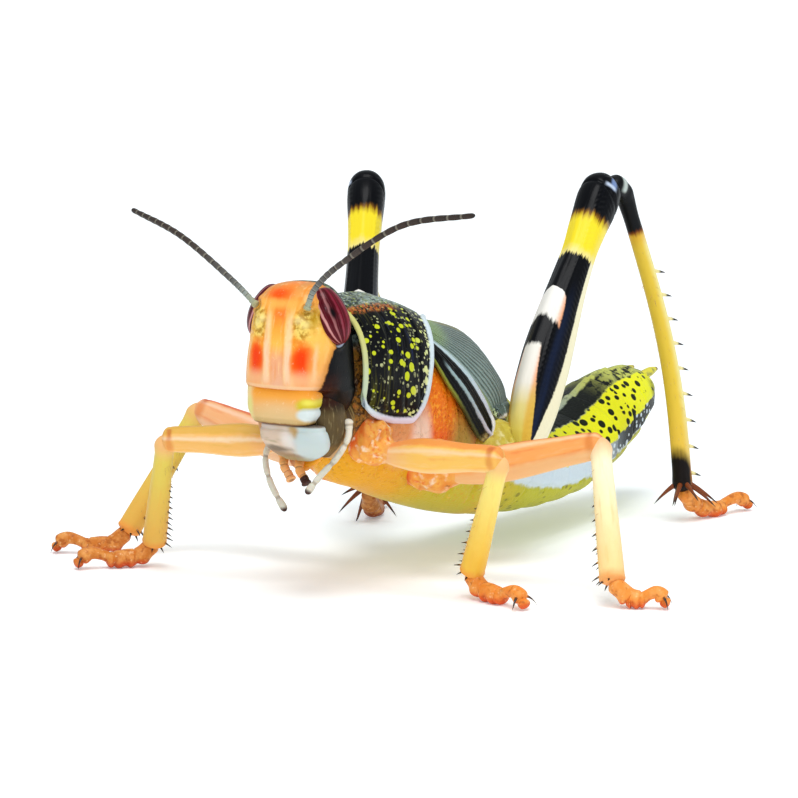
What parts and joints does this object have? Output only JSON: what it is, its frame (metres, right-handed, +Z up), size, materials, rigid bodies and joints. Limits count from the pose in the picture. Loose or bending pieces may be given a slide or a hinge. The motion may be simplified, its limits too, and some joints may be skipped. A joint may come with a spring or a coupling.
{
  "type": "locust hopper",
  "caption": "Life-size museum model of a last-stage desert locust nymph standing on its feet, head forward, feelers raised and hind knees high.",
  "frame": {"origin": "on the floor under the centre of the bounding box", "axes": "+Z up, the head looks along -Y, the animal's left side is +X"},
  "size_m": [0.037, 0.0416, 0.0209],
  "materials": {
    "abdomen": "satin",
    "antenna": "satin",
    "face": "satin",
    "eye": "glossy",
    "thigh": "satin",
    "foot": "satin",
    "shin": "satin",
    "wing_pad": "satin",
    "hind_femur": "glossy",
    "hind_tibia": "satin",
    "mouthparts": "satin",
    "mandible": "glossy",
    "thorax": "satin",
    "pronotum": "glossy"
  },
  "bodies": {
    "root": {"abdomen_1": "abdomen", "abdomen_2": "abdomen", "abdomen_3": "abdomen", "abdomen_4": "abdomen", "abdomen_5": "abdomen", "abdomen_6": "abdomen", "antenna_left": "antenna", "antenna_right": "antenna", "cercus_left": "abdomen", "cercus_right": "abdomen", "clypeus": "face", "eye_left": "eye", "eye_right": "eye", "fore_coxa_left": "thigh", "fore_coxa_right": "thigh", "fore_femur_left": "thigh", "fore_femur_right": "thigh", "fore_tarsus_left": "foot", "fore_tarsus_right": "foot", "fore_tibia_left": "shin", "fore_tibia_right": "shin", "forewing_pad_left": "wing_pad", "forewing_pad_right": "wing_pad", "head_capsule": "face", "hind_coxa_left": "thigh", "hind_coxa_right": "thigh", "hind_femur_left": "hind_femur", "hind_femur_right": "hind_femur", "hind_tarsus_left": "foot", "hind_tarsus_right": "foot", "hind_tibia_left": "hind_tibia", "hind_tibia_right": "hind_tibia", "hindwing_pad_left": "wing_pad", "hindwing_pad_right": "wing_pad", "labial_palp_left": "mouthparts", "labial_palp_right": "mouthparts", "labium": "face", "labrum": "mouthparts", "mandible_left": "mandible", "mandible_right": "mandible", "maxilla_left": "mouthparts", "maxilla_right": "mouthparts", "maxillary_palp_left": "mouthparts", "maxillary_palp_right": "mouthparts", "mesothorax": "thorax", "metathorax": "thorax", "mid_coxa_left": "thigh", "mid_coxa_right": "thigh", "mid_femur_left": "thigh", "mid_femur_right": "thigh", "mid_tarsus_left": "foot", "mid_tarsus_right": "foot", "mid_tibia_left": "shin", "mid_tibia_right": "shin", "pronotum": "pronotum", "prothorax": "thorax"}
  },
  "joints": []
}
